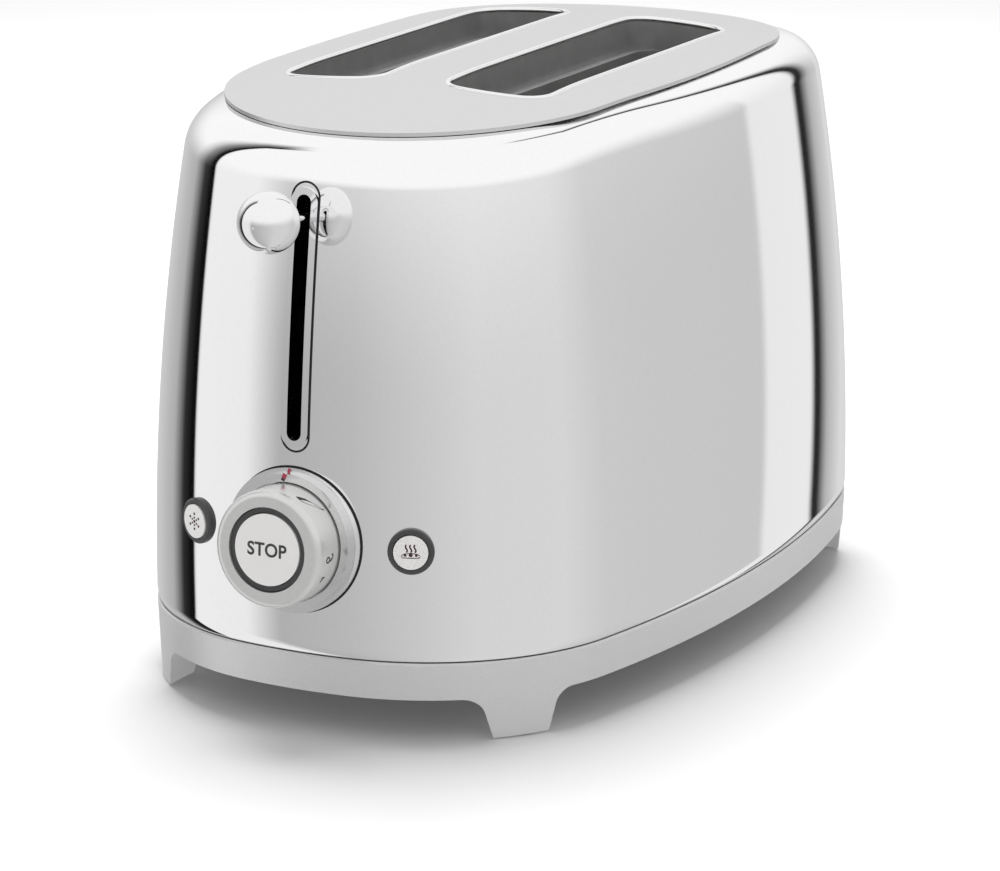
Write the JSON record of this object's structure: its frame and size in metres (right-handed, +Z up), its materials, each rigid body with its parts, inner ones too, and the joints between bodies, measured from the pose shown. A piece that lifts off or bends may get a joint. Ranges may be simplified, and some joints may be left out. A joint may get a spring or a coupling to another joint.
{
  "type": "two-slice toaster",
  "caption": "Rounded two-slice toaster with a crowned top, bread slots, a ball lever, a browning dial with stop button, side buttons and a rear crumb tray.",
  "frame": {"origin": "on the floor under the middle of the body", "axes": "+X from the control end to the rear, +Y to the left of the controls, +Z up"},
  "size_m": [0.3323, 0.183, 0.198],
  "materials": {
    "mirror_steel": "mirror-polished stainless sheet",
    "satin_steel": "fine brushed stainless sheet",
    "plated_steel": "plain galvanised sheet and rod",
    "polished_chrome": "polished chrome plate",
    "satin_plastic": "satin metallic-finished moulding",
    "black_plastic": "matt black moulding",
    "grey_plastic": "dark grey moulding",
    "white_plastic": "white gloss button cap",
    "soft_rubber": "soft black rubber",
    "mica_board": "pale brown mica sheet",
    "heater_ribbon": "dull resistance ribbon",
    "circuit_board": "green circuit board",
    "copper_coil": "copper winding on a steel core"
  },
  "bodies": {
    "housing": {"outer_shell": "mirror_steel", "top_plate": "satin_steel", "slot_liner_left": "plated_steel", "slot_liner_right": "plated_steel", "lever_slot_trim": "polished_chrome", "base_skirt": "satin_steel", "base_feet": "satin_steel", "base_frame": "plated_steel", "foot_pads": "soft_rubber", "bottom_plate": "plated_steel", "bottom_screws": "plated_steel", "cord_outlet_bush": "black_plastic", "front_chassis_plate": "plated_steel", "rear_chassis_plate": "plated_steel", "heater_board_left": "mica_board", "heater_board_centre": "mica_board", "heater_board_right": "mica_board", "heater_winding_left_outer": "heater_ribbon", "heater_winding_left_inner": "heater_ribbon", "heater_winding_right_inner": "heater_ribbon", "heater_winding_right_outer": "heater_ribbon", "guide_rod": "plated_steel", "rod_bracket": "plated_steel", "return_spring": "plated_steel", "latch_electromagnet": "copper_coil", "dial_ring": "polished_chrome", "defrost_ring": "grey_plastic", "reheat_ring": "grey_plastic", "control_board": "circuit_board", "control_frame": "black_plastic", "dial_sensor": "black_plastic", "stop_surround": "grey_plastic", "button_switches": "black_plastic"},
    "carriage": {"lever_carriage": "plated_steel", "carriage_bush": "black_plastic", "latch_armature": "plated_steel", "lever_stem": "polished_chrome", "lever_ball": "polished_chrome", "bread_lifter_left": "plated_steel", "bread_lifter_right": "plated_steel"},
    "guard_left_inner": {"bread_guard_left_inner": "plated_steel"},
    "guard_left_outer": {"bread_guard_left_outer": "plated_steel"},
    "guard_right_inner": {"bread_guard_right_inner": "plated_steel"},
    "guard_right_outer": {"bread_guard_right_outer": "plated_steel"},
    "dial": {"dial_knob": "satin_plastic"},
    "stop": {"stop_button": "white_plastic"},
    "defrost": {"defrost_button": "white_plastic"},
    "reheat": {"reheat_button": "white_plastic"},
    "tray": {"crumb_tray": "satin_steel"}
  },
  "joints": [
    {"name": "lever_slide", "type": "slide", "parent": "housing", "child": "carriage", "axis": [0, 0, -1], "range_m": [0, 0.067], "stiffness_N_per_m": 60, "springref_m": -0.03, "deforming": ["return_spring"]},
    {"name": "guard_left_inner_slide", "type": "slide", "parent": "housing", "child": "guard_left_inner", "axis": [0, 1, 0], "range_m": [0, 0.009]},
    {"name": "guard_left_outer_slide", "type": "slide", "parent": "housing", "child": "guard_left_outer", "axis": [0, -1, 0], "range_m": [0, 0.009]},
    {"name": "guard_right_inner_slide", "type": "slide", "parent": "housing", "child": "guard_right_inner", "axis": [0, -1, 0], "range_m": [0, 0.009]},
    {"name": "guard_right_outer_slide", "type": "slide", "parent": "housing", "child": "guard_right_outer", "axis": [0, 1, 0], "range_m": [0, 0.009]},
    {"name": "dial_turn", "type": "hinge", "parent": "housing", "child": "dial", "pos_m": [-0.15254, 0, 0.0634], "axis": [-0.9986, 0, 0.0523], "range_deg": [-112.5, 112.5]},
    {"name": "stop_press", "type": "slide", "parent": "housing", "child": "stop", "axis": [0.9986, 0, -0.0523], "range_m": [0, 0.002], "stiffness_N_per_m": 600, "springref_m": -0.001},
    {"name": "defrost_press", "type": "slide", "parent": "housing", "child": "defrost", "axis": [0.92, -0.392, 0], "range_m": [0, 0.0015], "stiffness_N_per_m": 600, "springref_m": -0.001},
    {"name": "reheat_press", "type": "slide", "parent": "housing", "child": "reheat", "axis": [0.92, 0.392, 0], "range_m": [0, 0.0015], "stiffness_N_per_m": 600, "springref_m": -0.001},
    {"name": "tray_slide", "type": "slide", "parent": "housing", "child": "tray", "axis": [1, 0, 0], "range_m": [0, 0.2]}
  ],
  "couplings": [
    {"joint": "guard_left_inner_slide", "follows": "lever_slide", "ratio": 0.13433},
    {"joint": "guard_left_outer_slide", "follows": "lever_slide", "ratio": 0.13433},
    {"joint": "guard_right_inner_slide", "follows": "lever_slide", "ratio": 0.13433},
    {"joint": "guard_right_outer_slide", "follows": "lever_slide", "ratio": 0.13433}
  ]
}
